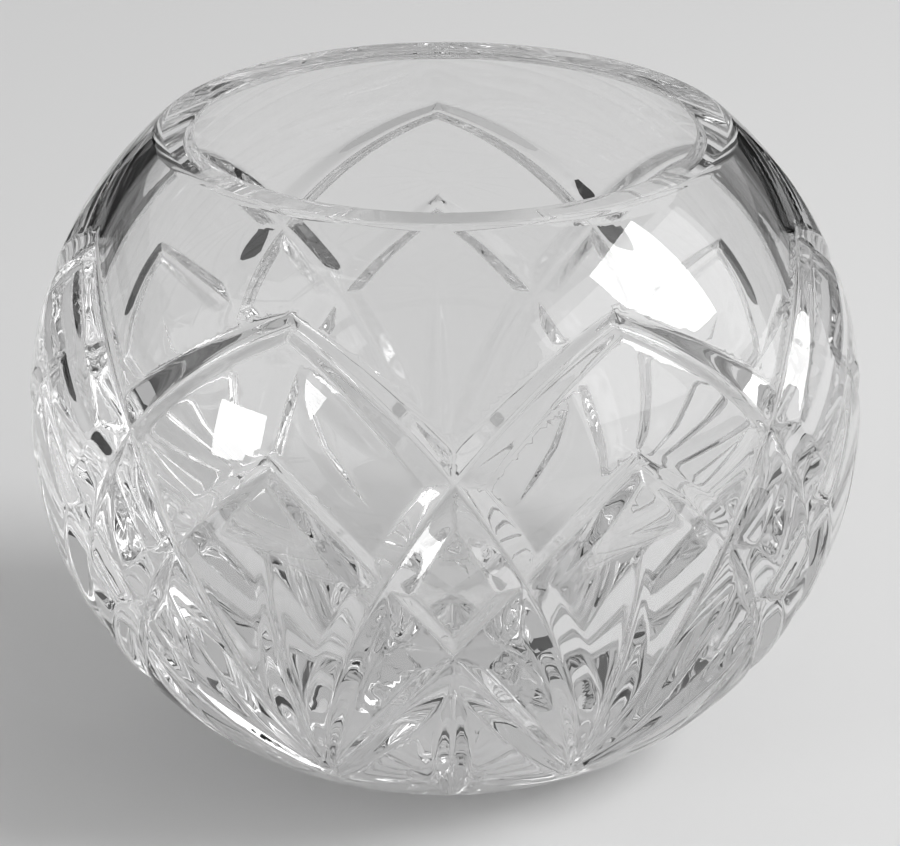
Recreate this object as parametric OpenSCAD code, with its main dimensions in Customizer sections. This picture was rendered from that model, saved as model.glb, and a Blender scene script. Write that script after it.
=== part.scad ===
// Rose bowl vase in cut glass: one solid piece of glass with seven repeats of a wheel-cut pattern.
// Origin at the middle of the flat base, +Z up, one valley of the pattern facing -Y.

/* [Bowl] */
// Outside diameter at the widest point
belly_d = 125; // [110:1:150]
// Height from the base to the top of the lip
bowl_h = 96; // [94:1:98]
// Height of the widest point
belly_h = 52.8; // [52:0.1:54]
// Outside diameter at the lip
rim_d = 85.6; // [84:0.2:88]
// Diameter of the mouth
mouth_d = 73.6; // [70:0.2:76]
// Height of the widest point of the hollow
hollow_h = 57; // [55:0.5:60]
// Thickness of the wall where the hollow is widest
wall_t = 5.8; // [5:0.1:7]
// Thickness of the glass in the middle of the base
base_t = 13; // [10:0.5:15]
// Size of the small flat round the edges of the lip
lip_edge = 0.5; // [0.3:0.1:0.8]

/* [Cut pattern] */
// Times that the pattern repeats round the bowl
repeats = 7; // [5:1:9]
// Angle between the two faces of a cut
cut_angle = 114; // [104:1:120]
// Height of the upper zigzag's peaks
upper_peak_h = 83; // [81:0.5:84]
// Height of the upper zigzag's valleys
upper_valley_h = 63; // [61:0.5:65]
// Height of the lower zigzag's peaks
lower_peak_h = 64; // [62:0.5:66]
// Height of the lower zigzag's valleys
lower_valley_h = 34.4; // [33:0.2:36]
// Height of the points where the fans start
fan_root_h = 7.8; // [6:0.2:9]
// Height of the top of each fan's middle ray
fan_top_h = 51; // [46:0.2:53]
// Height of the lower end of the upright cuts
upright_end_h = 2.2; // [1.5:0.1:4]
// Depth of the zigzag cuts at their valleys
band_depth = 2.3; // [1.6:0.1:2.6]
// Depth of the zigzag cuts at their peaks
peak_depth = 1.1; // [0.8:0.1:1.6]
// Depth of all the cuts where they meet at a fan's root
root_depth = 0.7; // [0.4:0.1:1]
// Depth of a fan's middle ray and of the upright cuts
ray_depth = 1.6; // [1:0.1:2]

/* [Base] */
// Rays of the star that is cut in the base
star_rays = 14; // [10:2:18]
// Radius of the star
star_r = 22; // [18:0.5:24]
// Depth of the star at its middle
star_depth = 1.4; // [0.8:0.1:1.8]
// Radius of the round dimple in the middle of the star
dimple_r = 5.4; // [5:0.1:7]
// Depth of the dimple
dimple_depth = 1.6; // [1:0.1:2]

/* [Hidden] */
$fn = 96;

glass_colour = [0.86, 0.9, 0.92, 0.55];
clear = 1;
sector = 360 / repeats;
last_set = 9;
second_pass = 0.12;
limb_start = 1; // degrees that a limb runs on past its peak
lip_slope = 20;

// The outside is an arc about a point beside the axis, set by the belly, the lip and the height.
belly_r = belly_d / 2;
rim_r = rim_d / 2;
mouth_r = mouth_d / 2;
arc_x = (belly_r ^ 2 - rim_r ^ 2 - (bowl_h - belly_h) ^ 2) / (2 * (belly_r - rim_r));
arc_r = belly_r - arc_x;

// The inside is widest at one height. Above it an arc like the outside's reaches the mouth.
hollow_r = out_x(hollow_h) - wall_t;
hollow_top_r = mouth_r - lip_edge;
shoulder_x = (hollow_r ^ 2 - hollow_top_r ^ 2 - (bowl_h - hollow_h) ^ 2) / (2 * (hollow_r - hollow_top_r));
shoulder_r = hollow_r - shoulder_x;

// Below it a ball about the axis leaves the thick base, heavy so that the bowl stands well.
floor_r = (hollow_r ^ 2 + (hollow_h - base_t) ^ 2) / (2 * (hollow_h - base_t));

// The cutter reaches this far outside the glass.
cutter_l = 12;

// Directions and points on the outside: az is measured from -Y towards +X, h is the height.
function out_x(h) = arc_x + sqrt(arc_r ^ 2 - (h - belly_h) ^ 2);
function out_dir(az, h) =
    let (n = [(out_x(h) - arc_x) / arc_r, (h - belly_h) / arc_r])
    [n.x * sin(az), -n.x * cos(az), n.y];
function out_point(az, h, depth) =
    [out_x(h) * sin(az), -out_x(h) * cos(az), h] - depth * out_dir(az, h);
function unit(v) = v / norm(v);
function turned(v, a) = [v.x * cos(a) - v.y * sin(a), v.x * sin(a) + v.y * cos(a)];

// The centre of the circle through three points.
function circle_centre(a, b, c) =
    let (u = b - a, v = c - a, w = cross(u, v))
    a + (cross(w, u) * (v * v) + cross(v, w) * (u * u)) / (2 * (w * w));

// A wheel's cut along the circle through three points at the bottom of the groove.
// Its two faces lean equally to both sides of the direction that the glass faces at the middle one.
module wheel_cut(a, b, c, facing, before = 0, after = 0) {
    centre = circle_centre(a, b, c);
    axis = unit(cross(b - a, c - a));
    side = unit(a - centre);
    along = cross(axis, side);
    last = c - centre;
    swing = atan2(last * along, last * side);
    sweep = swing < 0 ? swing + 360 : swing;
    out = unit([facing * unit(b - centre), facing * axis]);
    tip = [norm(a - centre), 0];
    multmatrix([
        [side.x, along.x, axis.x, centre.x],
        [side.y, along.y, axis.y, centre.y],
        [side.z, along.z, axis.z, centre.z],
        [0, 0, 0, 1]
    ])
        rotate([0, 0, -before])
            rotate_extrude(angle = sweep + before + after)
                polygon([
                    tip,
                    tip + cutter_l * turned(out, -cut_angle / 2),
                    tip + cutter_l * turned(out, cut_angle / 2)
                ]);
}

// One limb of a zigzag: from a peak through the next valley to the root of the fan beyond it.
module limb(peak_h, valley_h, deeper) {
    wheel_cut(
        out_point(-sector / 2, peak_h, peak_depth + deeper),
        out_point(0, valley_h, band_depth + deeper),
        out_point(sector / 2, fan_root_h, root_depth + deeper),
        out_dir(0, valley_h),
        before = limb_start
    );
}

// An upright cut: deepest in its middle and thin at its ends.
module upright(az, top_h, end_h, end_depth) {
    mid_h = (top_h + end_h) / 2;
    wheel_cut(
        out_point(az, top_h, 0),
        out_point(az, mid_h, ray_depth),
        out_point(az, end_h, end_depth),
        out_dir(az, mid_h)
    );
}

// Every second ray of the star, from the dimple out to a point.
module half_star(first) {
    inner_r = dimple_r * 0.9;
    for (i = [first : 2 : star_rays - 1])
        rotate([0, 0, i * 360 / star_rays])
            wheel_cut(
                [inner_r, 0, star_depth],
                [(inner_r + star_r) / 2, 0, star_depth * 0.6],
                [star_r, 0, -0.05],
                [0, 0, -1]
            );
}

// A shallow ball cut, whose edge has the dimple's radius.
module dimple() {
    ball_r = (dimple_r ^ 2 + dimple_depth ^ 2) / (2 * dimple_depth);
    translate([0, 0, dimple_depth - ball_r]) sphere(r = ball_r);
}

module all_round() {
    for (i = [0 : repeats - 1])
        rotate([0, 0, i * sector]) children();
}

module bowl_outside() {
    difference() {
        intersection() {
            translate([arc_x, belly_h]) circle(r = arc_r);
            square([belly_r + clear, bowl_h]);
        }
        translate([rim_r - lip_edge, bowl_h])
            rotate([0, 0, -lip_slope])
                square([3 * lip_edge, clear]);
    }
}

module bowl_inside() {
    intersection() {
        translate([shoulder_x, hollow_h]) circle(r = shoulder_r);
        translate([0, base_t + floor_r]) circle(r = floor_r);
        square([belly_r, bowl_h + clear]);
    }
    translate([0, belly_h]) square([mouth_r, bowl_h]);
}

module blank() {
    difference() {
        rotate_extrude() bowl_outside();
        rotate_extrude() bowl_inside();
    }
}

// The sets of cuts in the order in which they are made. No two cutters of one set touch.
// The left-hand limbs go a little deeper, so that one cut runs through the other at a crossing.
module cut_set(number) {
    if (number == 1) all_round() limb(upper_peak_h, upper_valley_h, 0);
    if (number == 2) all_round() mirror([1, 0, 0]) limb(upper_peak_h, upper_valley_h, second_pass);
    if (number == 3) all_round() limb(lower_peak_h, lower_valley_h, 0);
    if (number == 4) all_round() mirror([1, 0, 0]) limb(lower_peak_h, lower_valley_h, second_pass);
    if (number == 5) all_round() upright(sector / 2, fan_top_h, fan_root_h, root_depth);
    if (number == 6) all_round() upright(0, lower_valley_h, upright_end_h, 0);
    if (number == 7) half_star(0);
    if (number == 8) half_star(1);
    if (number == 9) dimple();
}

module glass_after(number) {
    if (number == 0) blank();
    else difference() {
        glass_after(number - 1);
        cut_set(number);
    }
}

module bowl() {
    color(glass_colour) glass_after(last_set);
}

bowl();
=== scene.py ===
"""Rose bowl vase in clear cut glass: the blank, the wheel cuts, the polish and a studio table."""

import math

import bmesh
import bpy
import numpy as np
from bpy.props import FloatProperty, IntProperty, PointerProperty, StringProperty
from bpy.types import Operator, Panel, PropertyGroup
from mathutils import Matrix, Vector
from mathutils.geometry import intersect_sphere_sphere_2d


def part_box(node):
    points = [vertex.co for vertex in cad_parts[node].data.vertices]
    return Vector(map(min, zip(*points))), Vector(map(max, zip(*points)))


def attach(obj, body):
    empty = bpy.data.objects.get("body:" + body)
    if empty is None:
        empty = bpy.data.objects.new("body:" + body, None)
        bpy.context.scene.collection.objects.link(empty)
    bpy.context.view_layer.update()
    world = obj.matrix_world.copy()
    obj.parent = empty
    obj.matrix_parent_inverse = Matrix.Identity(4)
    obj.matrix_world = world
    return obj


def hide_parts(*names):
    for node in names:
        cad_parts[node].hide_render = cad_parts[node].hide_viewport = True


bl_info = {
    "name": "Rose Bowl Vase",
    "version": (1, 0, 0),
    "blender": (4, 5, 0),
    "location": "3D View > Sidebar > Rose Bowl",
    "description": "Models a cut-glass rose bowl and the table that it stands on",
    "category": "Add Mesh",
}

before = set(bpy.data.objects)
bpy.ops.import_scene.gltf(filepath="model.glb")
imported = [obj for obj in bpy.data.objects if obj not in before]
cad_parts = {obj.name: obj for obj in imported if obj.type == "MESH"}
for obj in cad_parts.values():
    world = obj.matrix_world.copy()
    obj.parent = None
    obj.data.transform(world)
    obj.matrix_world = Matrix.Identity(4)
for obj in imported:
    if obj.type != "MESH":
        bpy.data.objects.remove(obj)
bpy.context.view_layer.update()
LOW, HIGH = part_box("bowl")


def mm(value):
    """Millimetres as metres."""
    return value / 1000


def length(name, default, description):
    """A size in metres."""
    return FloatProperty(name=name, default=default, min=0, unit="LENGTH", description=description)


def colour(name, default, description):
    """An sRGB hex colour."""
    return StringProperty(name=name, default=default, description=description)


def glow(name, default, description):
    """A brightness, where 1 is a white sheet."""
    return FloatProperty(name=name, default=default, min=0, soft_max=20, description=description)


# ---- sizes that a user would change ----


class BlankSizes(PropertyGroup):
    """The glass before it is cut"""

    belly_d: length("Belly diameter", mm(125), "Outside diameter at the widest point")
    bowl_h: length("Height", HIGH[2] - LOW[2], "Height from the base to the top of the lip")
    belly_h: length("Belly height", mm(52.8), "Height of the widest point")
    rim_d: length("Lip diameter", mm(85.6), "Outside diameter at the lip")
    mouth_d: length("Mouth diameter", mm(73.6), "Diameter of the mouth")
    hollow_h: length("Hollow height", mm(57), "Height of the widest point of the hollow")
    wall_t: length("Wall", mm(5.8), "Thickness of the wall where the hollow is widest")
    base_t: length("Base", mm(13), "Thickness of the glass in the middle of the base")
    hollow_round: length("Hollow rounding", mm(30), "Radius between the hollow's floor and its wall")
    lip_round: length("Lip rounding", mm(0.9), "Fire-polished rounding along both edges of the lip")


class CutSizes(PropertyGroup):
    """The wheel cuts round the outside"""

    repeats: IntProperty(name="Repeats", default=7, min=3, description="Times that the pattern repeats")
    cut_angle: FloatProperty(
        name="Cut angle", default=math.radians(114), subtype="ANGLE",
        description="Angle between the two faces of a cut",
    )
    upper_peak_h: length("Upper peaks", mm(83), "Height of the upper zigzag's peaks")
    upper_valley_h: length("Upper valleys", mm(63), "Height of the upper zigzag's valleys")
    lower_peak_h: length("Lower peaks", mm(64), "Height of the lower zigzag's peaks")
    lower_valley_h: length("Lower valleys", mm(34.4), "Height of the lower zigzag's valleys")
    fan_root_h: length("Fan roots", mm(7.8), "Height of the points where the fans start")
    fan_top_h: length("Fan tops", mm(51), "Height of the top of each fan's middle ray")
    upright_end_h: length("Upright cut ends", mm(2.2), "Height of the lower end of the upright cuts")
    band_depth: length("Band depth", mm(2.3), "Depth of the zigzag cuts at their valleys")
    peak_depth: length("Peak depth", mm(1.1), "Depth of the zigzag cuts at their peaks")
    root_depth: length("Root depth", mm(0.7), "Depth of the cuts where they meet at a fan's root")
    arris: length("Arris", mm(0.45), "Width of the worn-down edge along both sides of a cut")
    ray_depth: length("Ray depth", mm(1.6), "Depth of the fans' middle rays and of the upright cuts")


class StarSizes(PropertyGroup):
    """The star that is cut underneath"""

    rays: IntProperty(name="Rays", default=14, min=4, description="Rays of the star")
    reach: length("Reach", mm(22), "Radius of the star")
    depth: length("Depth", mm(1.4), "Depth of the star at its middle")
    dimple_r: length("Dimple radius", mm(5.4), "Radius of the round dimple in the middle")
    dimple_depth: length("Dimple depth", mm(1.6), "Depth of the dimple")


class GlassLook(PropertyGroup):
    """The glass itself"""

    tint: colour("Tint", "#FDFDFD", "Colour of the glass, sRGB hex")
    index: FloatProperty(name="Index", default=1.545, min=1, description="Refractive index of the glass")
    waves: length("Waves", mm(0.03), "Height of the faint waves that blowing and polishing leave")


class StageSettings(PropertyGroup):
    """The table, the lamps, the cards and the camera"""

    # The table's colour also colours the painted light that the table shows through the glass.
    table_colour: colour("Table", "#DEDEDE", "Colour of the table, sRGB hex")
    room_colour: colour("Room", "#E4E4E4", "Colour of the light from all round, sRGB hex")
    card_colour: colour("Dark cards", "#141414", "Colour of the two cards behind the bowl, sRGB hex")
    room_glow: glow("Room light", 0.54, "Brightness of the light from all round")
    wall_glow: glow("Wall light", 1.5, "Brightness of the pale wall at the right")
    key_glow: glow("Key lamp", 10.0, "Brightness of the lamp at the upper right")
    window_glow: glow("Window", 10.0, "Brightness of the small window at the front left")
    camera_distance: length("Camera distance", 1.0, "From the middle of the belly to the camera")
    camera_height: FloatProperty(
        name="Camera elevation", default=math.radians(20.9), subtype="ANGLE",
        description="How far the camera looks down",
    )


# ---- the arcs and points that the blank and the cuts share ----

# Lengths of the mesh's cells, which the eye would see as facets if they were much longer.
OUTSIDE_CELL, INSIDE_CELL, CUTTER_CELL = mm(1.1), mm(1.8), mm(1.2)
CUTTER_L, CUTTER_ROWS = mm(8), 12
DIMPLE_STEPS = 56

# The second set of limbs goes this much deeper, so that it runs through the first at each crossing.
# Each limb runs on past its peak by a small turn.
SECOND_PASS = mm(0.12)
LIMB_START = math.radians(1)

# A ray of the star starts inside the dimple, keeps this share of its depth halfway and runs out below.
STAR_START, STAR_HALFWAY, STAR_END = 0.9, 0.6, mm(-0.05)
OVERSHOOT = mm(1)

# Points this near are the same, and points this near an arc of the hollow lie on it.
TOUCH, ON_HOLLOW = mm(0.01), mm(0.02)

# The surface breaks at edges that turn further than this.
SHARP = math.radians(30)

# An edge that keeps its radius this evenly and lies this near the lip's is one of its two edges.
EVEN, NEAR_LIP, LIP_STEPS = mm(0.05), mm(0.3), 5

# Acid polishing rounds the cuts over about this far.
EDGE_SOFTNESS, BOTTOM_SOFTNESS = mm(0.14), mm(0.2)

# Where the surface would seem to turn further than this, the face keeps its own direction.
# So do the flat base and the lip, which end this far from the bowl's lower and upper end.
MOST_BEND = math.radians(50)
BASE_ZONE, LIP_ZONE = mm(0.1), mm(1.2)

# Each cut's circle and V, kept by wheel_cut and copies_round for the polish.
GROOVES = []


def arc_beside_axis(wide_r, wide_h, top_r, top_h):
    """Centre distance and radius of the arc that is widest at one height and reaches a second point."""
    x = (wide_r**2 - top_r**2 - (top_h - wide_h) ** 2) / (2 * (wide_r - top_r))
    return x, wide_r - x


def outer_arc(blank):
    """Centre distance and radius of the outside's arc."""
    return arc_beside_axis(blank.belly_d / 2, blank.belly_h, blank.rim_d / 2, blank.bowl_h)


def hollow_arcs(blank):
    """Centre, radius and upper end of the hollow's three arcs: floor, rounding and shoulder."""
    x, r = outer_arc(blank)
    high = blank.hollow_h
    wide = x + math.sqrt(r**2 - (high - blank.belly_h) ** 2) - blank.wall_t
    shoulder_x, shoulder_r = arc_beside_axis(wide, high, blank.mouth_d / 2, blank.bowl_h)
    floor_r = (wide**2 + (high - blank.base_t) ** 2) / (2 * (high - blank.base_t))
    shoulder, floor = Vector((shoulder_x, high)), Vector((0, blank.base_t + floor_r))
    small = blank.hollow_round
    meet = intersect_sphere_sphere_2d(shoulder, shoulder_r - small, floor, floor_r - small)
    middle = max(meet, key=lambda p: p.x)
    return (
        (floor, floor_r, middle + (middle - floor).normalized() * small),
        (middle, small, middle + (middle - shoulder).normalized() * small),
        (shoulder, shoulder_r, Vector((blank.mouth_d / 2, blank.bowl_h))),
    )


def outward(blank, turn, height):
    """Direction that the outside faces; turn is measured from -Y towards +X."""
    x, r = outer_arc(blank)
    rise = (height - blank.belly_h) / r
    flat = math.sqrt(1 - rise**2)
    return Vector((flat * math.sin(turn), -flat * math.cos(turn), rise))


def under_surface(blank, turn, height, depth):
    """A point this deep under the outside."""
    x, r = outer_arc(blank)
    at = x + math.sqrt(r**2 - (height - blank.belly_h) ** 2)
    return Vector((at * math.sin(turn), -at * math.cos(turn), height)) - depth * outward(blank, turn, height)


def circle_centre(a, b, c):
    """The centre of the circle through three points."""
    u, v = b - a, c - a
    w = u.cross(v)
    return a + (w.cross(u) * v.length_squared + v.cross(w) * u.length_squared) / (2 * w.length_squared)


# ---- modelling steps ----


def only(obj):
    """Leaves just this object selected and active."""
    bpy.ops.object.select_all(action="DESELECT")
    obj.select_set(True)
    bpy.context.view_layer.objects.active = obj


def edit(obj, mode="VERT"):
    """Opens the object in edit mode with nothing selected."""
    only(obj)
    bpy.ops.object.mode_set(mode="EDIT")
    bpy.ops.mesh.select_mode(type=mode)
    bpy.ops.mesh.select_all(action="DESELECT")
    return bmesh.from_edit_mesh(obj.data)


def finish_edit():
    """Back to object mode."""
    bpy.ops.object.mode_set(mode="OBJECT")


def close_up(obj, gap=1e-6):
    """Merges doubles and turns all faces outwards."""
    edit(obj)
    bpy.ops.mesh.select_all(action="SELECT")
    bpy.ops.mesh.remove_doubles(threshold=gap)
    bpy.ops.mesh.normals_make_consistent(inside=False)
    finish_edit()


def turn_at(centre, point):
    """Where a point stands on a circle of an outline, from straight down towards +X."""
    return math.atan2(point[0] - centre[0], centre[1] - point[1])


def turned_solid(name, start, strokes, cell, steps):
    """A solid of revolution, whose outline runs from the axis along arcs and straight lines."""
    bpy.ops.object.select_all(action="DESELECT")
    bpy.ops.mesh.primitive_circle_add(vertices=3, radius=mm(1), location=(start[0], 0, start[1]))
    obj = bpy.context.object
    obj.name = name
    bpy.ops.object.transform_apply(location=True, rotation=True, scale=True)
    edit(obj)
    bpy.ops.mesh.select_all(action="SELECT")
    bpy.ops.mesh.merge(type="CENTER")
    at = Vector(start)
    for centre, target in strokes:
        if centre is None:
            move = target[0] - at.x, 0, target[1] - at.y
            bpy.ops.mesh.extrude_region_move(TRANSFORM_OT_translate={"value": move})
        else:
            turn = turn_at(centre, target) - turn_at(centre, at)
            along = abs(turn) * (at - Vector(centre)).length
            bpy.ops.mesh.spin(
                steps=max(3, round(along / cell)),
                angle=turn,
                center=(centre[0], 0, centre[1]),
                axis=(0, 1, 0),
            )
        at = Vector(target)
    bpy.ops.mesh.select_all(action="SELECT")
    bpy.ops.mesh.spin(steps=steps, angle=math.tau, center=(0, 0, 0), axis=(0, 0, 1))
    finish_edit()
    close_up(obj, TOUCH)
    return obj


def wheel_cut(a, b, c, facing, angle, before=0.0):
    """The solid that a V-edged wheel clears along the circle through three points of the groove's bottom."""
    centre, radius = circle_centre(a, b, c), (a - circle_centre(a, b, c)).length
    axis = (b - a).cross(c - a).normalized()
    side = (a - centre).normalized()
    swing = math.atan2((c - centre).dot(axis.cross(side)), (c - centre).dot(side)) % math.tau
    sweep = swing + before
    opening = Vector((facing.dot((b - centre).normalized()), facing.dot(axis))).normalized()
    start = Matrix.Rotation(-before, 3, axis) @ side
    out = start * opening.x + axis * opening.y
    across = out.cross(axis.cross(start)).normalized()
    tall, half_wide = CUTTER_L * math.cos(angle / 2), CUTTER_L * math.sin(angle / 2)
    middle = centre + start * radius + out * tall * 2 / 3
    turn = Matrix((across, -out, across.cross(-out))).transposed().to_euler()
    bpy.ops.object.select_all(action="DESELECT")
    bpy.ops.mesh.primitive_circle_add(vertices=3, radius=1, fill_type="NGON", location=middle, rotation=turn)
    obj = bpy.context.object
    obj.name = "wheel_cut"
    obj.scale = (half_wide / math.sin(math.pi / 3), tall * 2 / 3, 1)
    bpy.ops.object.transform_apply(location=True, rotation=True, scale=True)
    mesh = edit(obj, "EDGE")
    tip = centre + start * radius
    for edge in mesh.edges:
        edge.select = min((v.co - tip).length for v in edge.verts) < TOUCH
    bmesh.update_edit_mesh(obj.data)
    bpy.ops.mesh.subdivide(number_cuts=CUTTER_ROWS)
    bpy.ops.mesh.select_all(action="SELECT")
    steps = max(8, round(sweep * radius / CUTTER_CELL))
    bpy.ops.mesh.spin(steps=steps, angle=sweep, center=centre, axis=-axis)
    finish_edit()
    close_up(obj)
    basis = Matrix((start, axis.cross(start), axis)).transposed().to_4x4()
    obj["groove"] = len(GROOVES)
    GROOVES.append((Matrix.Translation(centre) @ basis, radius, opening.copy(), angle, sweep))
    return obj


def copies_round(first, number, turn=0.0, mirrored=False):
    """The first cutter with its copies round the axis, as one object."""
    moved = Matrix.Scale(-1, 4, (1, 0, 0)) if mirrored else Matrix.Rotation(turn, 4, "Z")
    first.data.transform(moved)
    close_up(first)
    frame_there, *shape = GROOVES.pop(first["groove"])
    made = []
    for i in range(number):
        round_to = Matrix.Rotation(i * math.tau / number, 4, "Z")
        other = first.copy()
        other.data = first.data.copy()
        other.data.transform(round_to)
        bpy.context.collection.objects.link(other)
        made.append(other)
        GROOVES.append((round_to @ moved @ frame_there, *shape))
    bpy.data.meshes.remove(first.data)
    only(made[0])
    for obj in made:
        obj.select_set(True)
    bpy.ops.object.join()
    return made[0]


def volume(obj):
    """What the object's closed surface holds."""
    mesh = bmesh.new()
    mesh.from_mesh(obj.data)
    held = mesh.calc_volume(signed=True)
    mesh.free()
    return held


def cut_away(body, cutter, shapes_polish=True):
    """Takes the cutter out of the body and removes it; an edge cut leaves no groove for the polish."""
    only(body)
    step = body.modifiers.new("Cut", "BOOLEAN")
    step.operation, step.solver, step.object = "DIFFERENCE", "MANIFOLD", cutter
    before = volume(body)
    bpy.ops.object.modifier_apply(modifier=step.name)
    bpy.data.meshes.remove(cutter.data)
    if not 0 < volume(body) < before:
        raise RuntimeError(f"a cut went wrong on {body.name}")
    if not shapes_polish:
        del GROOVES[-bpy.context.scene.rose_cuts.repeats :]


def glass_piece():
    """The blank as far as it has been cut."""
    made = bpy.data.objects.get("glass_bowl")
    if made is None:
        raise RuntimeError("blow the blank first")
    return made


# ---- the pieces ----


class ROSEBOWL_OT_blank(Operator):
    """Blows the blank: a thick round wall with a dished floor and a ground lip"""

    bl_idname = "rosebowl.blank"
    bl_label = "Blow the Blank"

    def execute(self, context):
        blank = context.scene.rose_blank
        x, r = outer_arc(blank)
        foot = x + math.sqrt(r**2 - blank.belly_h**2)
        body = turned_solid(
            "glass_bowl",
            (0, 0),
            (
                (None, (foot, 0)),
                ((x, blank.belly_h), (blank.rim_d / 2, blank.bowl_h)),
                (None, (0, blank.bowl_h)),
            ),
            OUTSIDE_CELL,
            blank_steps(context, OUTSIDE_CELL),
        )
        over = blank.bowl_h + OVERSHOOT
        hollow = turned_solid(
            "hollow",
            (0, blank.base_t),
            (
                *((centre, end) for centre, _, end in hollow_arcs(blank)),
                (None, (blank.mouth_d / 2, over)),
                (None, (0, over)),
            ),
            INSIDE_CELL,
            blank_steps(context, INSIDE_CELL),
        )
        cut_away(body, hollow)
        return {"FINISHED"}


def blank_steps(context, cell):
    """Steps round the bowl, the same for each repeat of the pattern."""
    cuts, blank = context.scene.rose_cuts, context.scene.rose_blank
    return 2 * cuts.repeats * round(math.pi * blank.belly_d / cell / 2 / cuts.repeats)


def arris_depth(cuts, depth):
    """Depth of the wide, shallow cut that takes the edges off a cut of this depth."""
    wide = math.tan(cuts.cut_angle / 4 + math.pi / 4)
    return (depth * math.tan(cuts.cut_angle / 2) + cuts.arris) / wide


class ROSEBOWL_OT_zigzags(Operator):
    """Cuts the two zigzag bands, whose limbs run on to the fans' roots"""

    bl_idname = "rosebowl.zigzags"
    bl_label = "Cut the Zigzags"

    def execute(self, context):
        blank, cuts = context.scene.rose_blank, context.scene.rose_cuts
        half = math.pi / cuts.repeats
        upper = cuts.upper_peak_h, cuts.upper_valley_h
        lower = cuts.lower_peak_h, cuts.lower_valley_h
        for peak_h, valley_h in (upper, lower):
            for mirrored in (False, True):
                deeper = SECOND_PASS if mirrored else 0
                depths = [d + deeper for d in (cuts.peak_depth, cuts.band_depth, cuts.root_depth)]
                for edge_cut in (False, True):
                    at = [arris_depth(cuts, d) for d in depths] if edge_cut else depths
                    limb = wheel_cut(
                        under_surface(blank, -half, peak_h, at[0]),
                        under_surface(blank, 0, valley_h, at[1]),
                        under_surface(blank, half, cuts.fan_root_h, at[2]),
                        outward(blank, 0, valley_h),
                        cuts.cut_angle / 2 + math.pi / 2 if edge_cut else cuts.cut_angle,
                        before=LIMB_START,
                    )
                    limbs = copies_round(limb, cuts.repeats, mirrored=mirrored)
                    cut_away(glass_piece(), limbs, not edge_cut)
        return {"FINISHED"}


class ROSEBOWL_OT_fans(Operator):
    """Cuts the fans' middle rays and the upright cuts between the fans"""

    bl_idname = "rosebowl.fans"
    bl_label = "Cut the Fans"

    def execute(self, context):
        blank, cuts = context.scene.rose_blank, context.scene.rose_cuts
        half = math.pi / cuts.repeats
        for turn, top_h, end_h, end_depth in (
            (half, cuts.fan_top_h, cuts.fan_root_h, cuts.root_depth),
            (0, cuts.lower_valley_h, cuts.upright_end_h, 0),
        ):
            middle_h = (top_h + end_h) / 2
            ray = wheel_cut(
                under_surface(blank, turn, top_h, 0),
                under_surface(blank, turn, middle_h, cuts.ray_depth),
                under_surface(blank, turn, end_h, end_depth),
                outward(blank, turn, middle_h),
                cuts.cut_angle,
            )
            cut_away(glass_piece(), copies_round(ray, cuts.repeats))
        return {"FINISHED"}


class ROSEBOWL_OT_star(Operator):
    """Cuts the star and the dimple underneath"""

    bl_idname = "rosebowl.star"
    bl_label = "Cut the Star"

    def execute(self, context):
        star, cuts = context.scene.rose_star, context.scene.rose_cuts
        inner = star.dimple_r * STAR_START
        for first in (0, 1):
            ray = wheel_cut(
                Vector((inner, 0, star.depth)),
                Vector(((inner + star.reach) / 2, 0, star.depth * STAR_HALFWAY)),
                Vector((star.reach, 0, STAR_END)),
                Vector((0, 0, -1)),
                cuts.cut_angle,
            )
            turn = first * math.tau / star.rays
            cut_away(glass_piece(), copies_round(ray, star.rays // 2, turn))
        ball_r = (star.dimple_r**2 + star.dimple_depth**2) / (2 * star.dimple_depth)
        centre, under = (0, star.dimple_depth - ball_r), -2 * OVERSHOOT
        wide = math.sqrt(ball_r**2 - (under - centre[1]) ** 2)
        ball = turned_solid(
            "dimple",
            (0, under),
            ((None, (wide, under)), (centre, (0, star.dimple_depth))),
            OUTSIDE_CELL / 2,
            DIMPLE_STEPS,
        )
        cut_away(glass_piece(), ball)
        return {"FINISHED"}


class ROSEBOWL_OT_polish(Operator):
    """Rounds the lip, polishes the cuts and gives the glass its material"""

    bl_idname = "rosebowl.polish"
    bl_label = "Polish the Glass"

    def execute(self, context):
        body = glass_piece()
        blank = context.scene.rose_blank
        round_lip(body, blank)
        only(body)
        bpy.ops.object.shade_smooth_by_angle(angle=SHARP)
        soften_cuts(body, blank)
        body.data.materials.clear()
        body.data.materials.append(lead_crystal(context.scene.rose_glass))
        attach(body, "root")
        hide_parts("bowl")
        return {"FINISHED"}


def groove_field(points, groove, softness):
    """How far points are inside one cut's V, soft at its bottom and ends, and the way that grows."""
    there, radius, opening, angle, sweep = groove
    turn = np.array(there.to_3x3())
    local = (points - np.array(there.translation)) @ turn
    ring = np.hypot(local[:, 0], local[:, 1])
    ways, spans = [], []
    for lean in (math.pi / 2 - angle / 2, angle / 2 - math.pi / 2):
        normal = (
            opening.x * math.cos(lean) - opening.y * math.sin(lean),
            opening.x * math.sin(lean) + opening.y * math.cos(lean),
        )
        spans.append(normal[0] * (ring - radius) + normal[1] * local[:, 2])
        flat = normal[0] * local[:, :2] / ring[:, None]
        ways.append(np.column_stack([flat, np.full(len(ring), normal[1])]))
    for plane in ((0, 1, 0), (math.sin(sweep), -math.cos(sweep), 0)):
        spans.append(local @ np.array(plane))
        ways.append(np.tile(plane, (len(ring), 1)))
    spans = np.array(spans)
    least = spans.min(0)
    shares = np.exp((least - spans) / softness)
    total = shares.sum(0)
    way = sum(w * (share / total)[:, None] for w, share in zip(ways, shares))
    return least - softness * np.log(total), way @ turn.T


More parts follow.
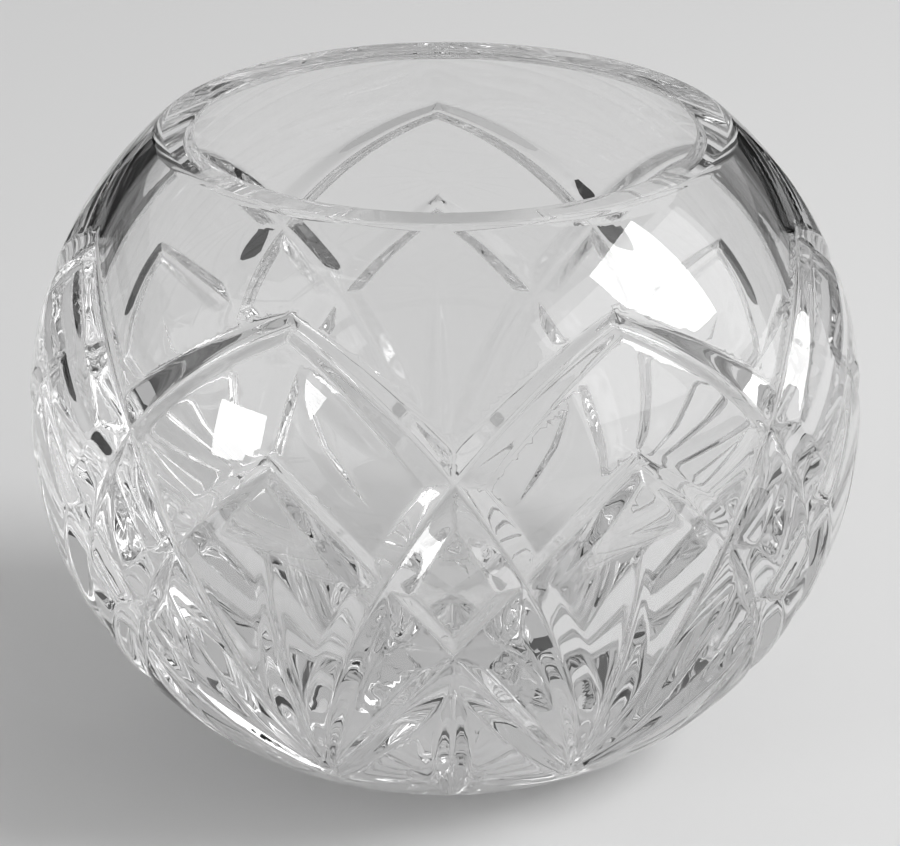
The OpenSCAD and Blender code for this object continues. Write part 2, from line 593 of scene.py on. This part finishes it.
def away_from(centre, points):
    """Distance from an arc's centre to each point's place on the outline, and the direction of that."""
    ring = np.hypot(points[:, 0], points[:, 1])
    across, rise = ring - centre[0], points[:, 2] - centre[1]
    far = np.hypot(across, rise)
    share = across / far / np.maximum(ring, 1e-9)
    return far, np.column_stack([share * points[:, 0], share * points[:, 1], rise / far])


def soften_cuts(body, blank):
    """Lets the surface turn softly at the cuts' edges and bottoms, as acid polishing leaves them."""
    mesh = body.data
    points = np.empty(len(mesh.vertices) * 3)
    mesh.vertices.foreach_get("co", points)
    points = points.reshape(-1, 3)
    x, r = outer_arc(blank)
    far, way = away_from((x, blank.belly_h), points)
    fields, ways = [far - r], [way]
    for groove in GROOVES:
        field, way = groove_field(points, groove, BOTTOM_SOFTNESS)
        fields.append(field)
        ways.append(way)
    shares = np.array(fields)
    shares = np.exp((shares - shares.max(0)) / EDGE_SOFTNESS)
    shares /= shares.sum(0)
    outside = sum(way * share[:, None] for way, share in zip(ways, shares))
    outside /= np.linalg.norm(outside, axis=1)[:, None]

    off = np.full(len(points), 1.0)
    inside = np.zeros_like(points)
    for centre, radius, _ in hollow_arcs(blank):
        far, way = away_from(centre, points)
        nearer = np.abs(far - radius) < off
        off[nearer] = np.abs(far - radius)[nearer]
        inside[nearer] = -way[nearer]

    corners = [tuple(c.vector) for c in mesh.corner_normals]
    for face in mesh.polygons:
        if not BASE_ZONE < face.center.z < blank.bowl_h - LIP_ZONE:
            continue
        hollow = all(off[v] < ON_HOLLOW for v in face.vertices)
        for loop in face.loop_indices:
            vertex = mesh.loops[loop].vertex_index
            way = Vector(inside[vertex] if hollow else outside[vertex])
            if way.angle(face.normal, math.pi) < MOST_BEND:
                corners[loop] = tuple(way)
    mesh.normals_split_custom_set(corners)


def round_lip(body, blank):
    """Bevels the two edges of the flat lip."""
    mesh = edit(body, "EDGE")
    for edge in mesh.edges:
        low, high = (v.co for v in edge.verts)
        if min(low.z, high.z) < blank.bowl_h - TOUCH:
            continue
        radius = Vector((low.x, low.y)).length
        ring = abs(Vector((high.x, high.y)).length - radius) < EVEN
        off = min(abs(radius - blank.rim_d / 2), abs(radius - blank.mouth_d / 2))
        if ring and off < NEAR_LIP:
            edge.select = True
    bmesh.update_edit_mesh(body.data)
    bpy.ops.mesh.bevel(
        offset=blank.lip_round, offset_type="OFFSET", segments=LIP_STEPS, profile=0.5
    )
    finish_edit()


# ---- materials ----

# The faint waves in the glass are about 14 mm long.
WAVE_SCALE = 70.0


def linear(code):
    """An sRGB hex colour as the linear values that Blender's sockets take."""
    parts = [int(code[i : i + 2], 16) / 255 for i in (1, 3, 5)]
    return [v / 12.92 if v <= 0.04045 else ((v + 0.055) / 1.055) ** 2.4 for v in parts] + [1.0]


def add_node(tree, kind, inputs=None, links=None, **settings):
    """One node with its settings, its input values and the sockets that feed it."""
    node = tree.nodes.new(kind)
    for name, value in settings.items():
        setattr(node, name, value)
    for name, value in (inputs or {}).items():
        node.inputs[name].default_value = value
    for name, source in (links or {}).items():
        tree.links.new(source, node.inputs[name])
    return node


def empty_material(name):
    """A new material and its empty node tree."""
    made = bpy.data.materials.new(name)
    made.use_nodes = True
    made.node_tree.nodes.clear()
    return made, made.node_tree


def lead_crystal(look):
    """Lead crystal, blown, wheel-cut and acid-polished."""
    material, tree = empty_material("lead_crystal")
    place = add_node(tree, "ShaderNodeTexCoord").outputs["Object"]
    # Blown walls and dipped cuts are never quite flat: long faint waves bend what shows through them.
    waves = add_node(
        tree,
        "ShaderNodeTexNoise",
        {"Scale": WAVE_SCALE, "Detail": 1.0, "Roughness": 0.4},
        {"Vector": place},
    )
    wavy = add_node(
        tree,
        "ShaderNodeBump",
        {"Strength": 1.0, "Distance": look.waves},
        {"Height": waves.outputs["Fac"]},
    )
    # Clear and perfectly smooth, with the high refractive index that makes lead glass sparkle.
    glass = add_node(
        tree,
        "ShaderNodeBsdfPrincipled",
        {
            "Base Color": linear(look.tint),
            "Roughness": 0.0,
            "IOR": look.index,
            "Transmission Weight": 1.0,
        },
        {"Normal": wavy.outputs["Normal"]},
    )
    add_node(tree, "ShaderNodeOutputMaterial", links={"Surface": glass.outputs["BSDF"]})
    return material


def matt(tree, code):
    """A dull surface, which throws back no image of the bowl."""
    return add_node(tree, "ShaderNodeBsdfPrincipled", {"Base Color": linear(code), "Roughness": 0.9})


def black_velvet(code):
    """Velvet, which swallows the light."""
    material, tree = empty_material("black_velvet")
    pile = matt(tree, code)
    add_node(tree, "ShaderNodeOutputMaterial", links={"Surface": pile.outputs["BSDF"]})
    return material


def paper_with_painted_light(code):
    """Pale matt paper with painted light: seen through the glass it partly glows in its own colour, which
    paints its shadow paler, in place of the light that the bowl lets through.
    """
    material, tree = empty_material("paper_with_painted_light")
    paper = matt(tree, code)
    # Painted light: for rays that come through the glass, the paper partly glows in its own colour, so its
    # shadow there shows paler.
    painted_glow = add_node(tree, "ShaderNodeEmission", {"Color": linear(code), "Strength": PAINTED_LIGHT_GLOW})
    path = add_node(tree, "ShaderNodeLightPath")
    share = add_node(tree, "ShaderNodeMath", operation="MULTIPLY")
    share.inputs[1].default_value = PAINTED_LIGHT_SHARE
    tree.links.new(path.outputs["Is Transmission Ray"], share.inputs[0])
    mixed = add_node(tree, "ShaderNodeMixShader", links={"Fac": share.outputs[0]})
    tree.links.new(paper.outputs["BSDF"], mixed.inputs[1])
    tree.links.new(painted_glow.outputs["Emission"], mixed.inputs[2])
    add_node(tree, "ShaderNodeOutputMaterial", links={"Surface": mixed.outputs["Shader"]})
    return material


# ---- the stage ----

# Painted light on the table where it is seen through the glass: the share of the paper's glow there, and how
# bright that glow is.
PAINTED_LIGHT_SHARE, PAINTED_LIGHT_GLOW = 0.6, 0.86

# The table's top lies just under the bowl, and the cards lie just over the table.
TABLE_SIZE, TABLE_Z = 8, mm(-0.1)
CARD_STEPS, CARD_Z = 180, mm(0.2)

# The lamps face this height. The lens and its shifts frame the bowl as the photo does.
LAMP_AIM = mm(50)
CAMERA_TURN, LENS, SHIFT_X, SHIFT_Y = -1.25, 265.4, 0.0053, -0.0244

# A ray can cross the glass many times before it leaves it.
GLASS_BOUNCES, MIRROR_BOUNCES = 24, 12


def bearing(turn, rise):
    """Direction at this many degrees from -Y towards +X, and above the table."""
    turn, rise = math.radians(turn), math.radians(rise)
    return Vector((math.sin(turn) * math.cos(rise), -math.cos(turn) * math.cos(rise), math.sin(rise)))


def softbox(name, turn, rise, far, wide, tall, bright):
    """An area lamp that faces the bowl; bright is its brightness, where 1 is a white sheet."""
    bpy.ops.object.light_add(type="AREA")
    lamp = bpy.context.object
    lamp.name = name
    lamp.location = bearing(turn, rise) * far + Vector((0, 0, LAMP_AIM))
    lamp.rotation_euler = bearing(turn, rise).to_track_quat("Z", "Y").to_euler()
    lamp.data.shape = "RECTANGLE"
    lamp.data.size, lamp.data.size_y = wide, tall
    lamp.data.energy = bright * math.pi * wide * tall
    lamp.visible_camera = False
    return lamp


def dark_flag(name, turn_from, turn_to, near, far, high, code):
    """A dark card that lies behind the bowl, turns up at its far end and shows only in the glass."""
    bpy.ops.object.select_all(action="DESELECT")
    bpy.ops.mesh.primitive_circle_add(vertices=CARD_STEPS, radius=near, location=(0, 0, CARD_Z))
    card = bpy.context.object
    card.name = name
    bpy.ops.object.transform_apply(location=True, rotation=True, scale=True)
    mesh = edit(card)
    for point in mesh.verts:
        turn = math.degrees(math.atan2(point.co.x, -point.co.y)) % 360
        point.select = not turn_from <= turn <= turn_to
    bmesh.update_edit_mesh(card.data)
    bpy.ops.mesh.delete(type="VERT")
    bpy.ops.mesh.select_all(action="SELECT")
    bpy.ops.mesh.extrude_region_move(TRANSFORM_OT_translate={"value": (0, 0, 0)})
    bpy.ops.transform.resize(value=(far / near, far / near, 1), center_override=(0, 0, 0))
    bpy.ops.mesh.extrude_region_move(TRANSFORM_OT_translate={"value": (0, 0, high)})
    finish_edit()
    card.data.materials.append(black_velvet(code))
    card.visible_camera = card.visible_diffuse = card.visible_shadow = False


class ROSEBOWL_OT_stage(Operator):
    """Lays the table, stands the dark cards, hangs the lamps and sets up the camera"""

    bl_idname = "rosebowl.stage"
    bl_label = "Set the Stage"

    def execute(self, context):
        scene, stage, blank = context.scene, context.scene.rose_stage, context.scene.rose_blank
        bpy.ops.object.select_all(action="DESELECT")
        bpy.ops.mesh.primitive_plane_add(size=TABLE_SIZE, location=(0, 0, TABLE_Z))
        table = context.object
        table.name = "table"
        # The table's material paints light into its shadow where it is seen through the glass.
        table.data.materials.append(paper_with_painted_light(stage.table_colour))
        dark = stage.card_colour
        dark_flag("flag_left", turn_from=199, turn_to=264, near=0.29, far=0.55, high=0.22, code=dark)
        dark_flag("flag_right", turn_from=126, turn_to=163, near=0.32, far=0.55, high=0.16, code=dark)
        wall, hot, pane = stage.wall_glow, stage.key_glow, stage.window_glow
        softbox("bright_wall", turn=72, rise=24, far=2.6, wide=3.5, tall=2.2, bright=wall)
        # These two leave highlights on the surface, and no stray sparks inside the glass.
        key = softbox("softbox_right", turn=78, rise=37, far=1.2, wide=0.5, tall=0.6, bright=hot)
        window = softbox("window_left", turn=302, rise=6, far=1.2, wide=0.3, tall=0.3, bright=pane)
        key.visible_transmission = window.visible_transmission = False
        scene.view_settings.view_transform = "Standard"
        world = bpy.data.worlds.new("studio")
        scene.world = world
        world.use_nodes = True
        room = world.node_tree.nodes["Background"]
        room.inputs["Color"].default_value = linear(stage.room_colour)
        room.inputs["Strength"].default_value = stage.room_glow
        scene.cycles.max_bounces = GLASS_BOUNCES
        scene.cycles.transmission_bounces = GLASS_BOUNCES
        scene.cycles.glossy_bounces = MIRROR_BOUNCES

        middle = Vector((0, 0, blank.belly_h))
        back = bearing(CAMERA_TURN, math.degrees(stage.camera_height))
        bpy.ops.object.camera_add()
        camera = context.object
        camera.location = middle + back * stage.camera_distance
        camera.rotation_mode = "QUATERNION"
        camera.rotation_quaternion = back.to_track_quat("Z", "Y")
        camera.data.lens = LENS
        camera.data.shift_x = SHIFT_X
        camera.data.shift_y = SHIFT_Y
        scene.camera = camera
        return {"FINISHED"}


class ROSEBOWL_PT_sidebar(Panel):
    """Lists the steps in their order"""

    bl_label = "Rose Bowl"
    bl_idname = "ROSEBOWL_PT_sidebar"
    bl_space_type = "VIEW_3D"
    bl_region_type = "UI"
    bl_category = "Rose Bowl"

    def draw(self, context):
        for name in GROUPS:
            group = getattr(context.scene, name)
            for key in group.__annotations__:
                self.layout.prop(group, key)
        for step in STEPS:
            self.layout.operator(step.bl_idname)


STEPS = (
    ROSEBOWL_OT_blank,
    ROSEBOWL_OT_zigzags,
    ROSEBOWL_OT_fans,
    ROSEBOWL_OT_star,
    ROSEBOWL_OT_polish,
    ROSEBOWL_OT_stage,
)
GROUPS = {
    "rose_blank": BlankSizes,
    "rose_cuts": CutSizes,
    "rose_star": StarSizes,
    "rose_glass": GlassLook,
    "rose_stage": StageSettings,
}


def register():
    for cls in (*GROUPS.values(), *STEPS, ROSEBOWL_PT_sidebar):
        bpy.utils.register_class(cls)
    for name, group in GROUPS.items():
        setattr(bpy.types.Scene, name, PointerProperty(type=group))


def unregister():
    for name in GROUPS:
        delattr(bpy.types.Scene, name)
    for cls in (ROSEBOWL_PT_sidebar, *reversed(STEPS), *GROUPS.values()):
        bpy.utils.unregister_class(cls)


def main():
    register()
    bpy.ops.rosebowl.blank()
    bpy.ops.rosebowl.zigzags()
    bpy.ops.rosebowl.fans()
    bpy.ops.rosebowl.star()
    bpy.ops.rosebowl.polish()
    bpy.ops.rosebowl.stage()


if __name__ == "__main__":
    main()
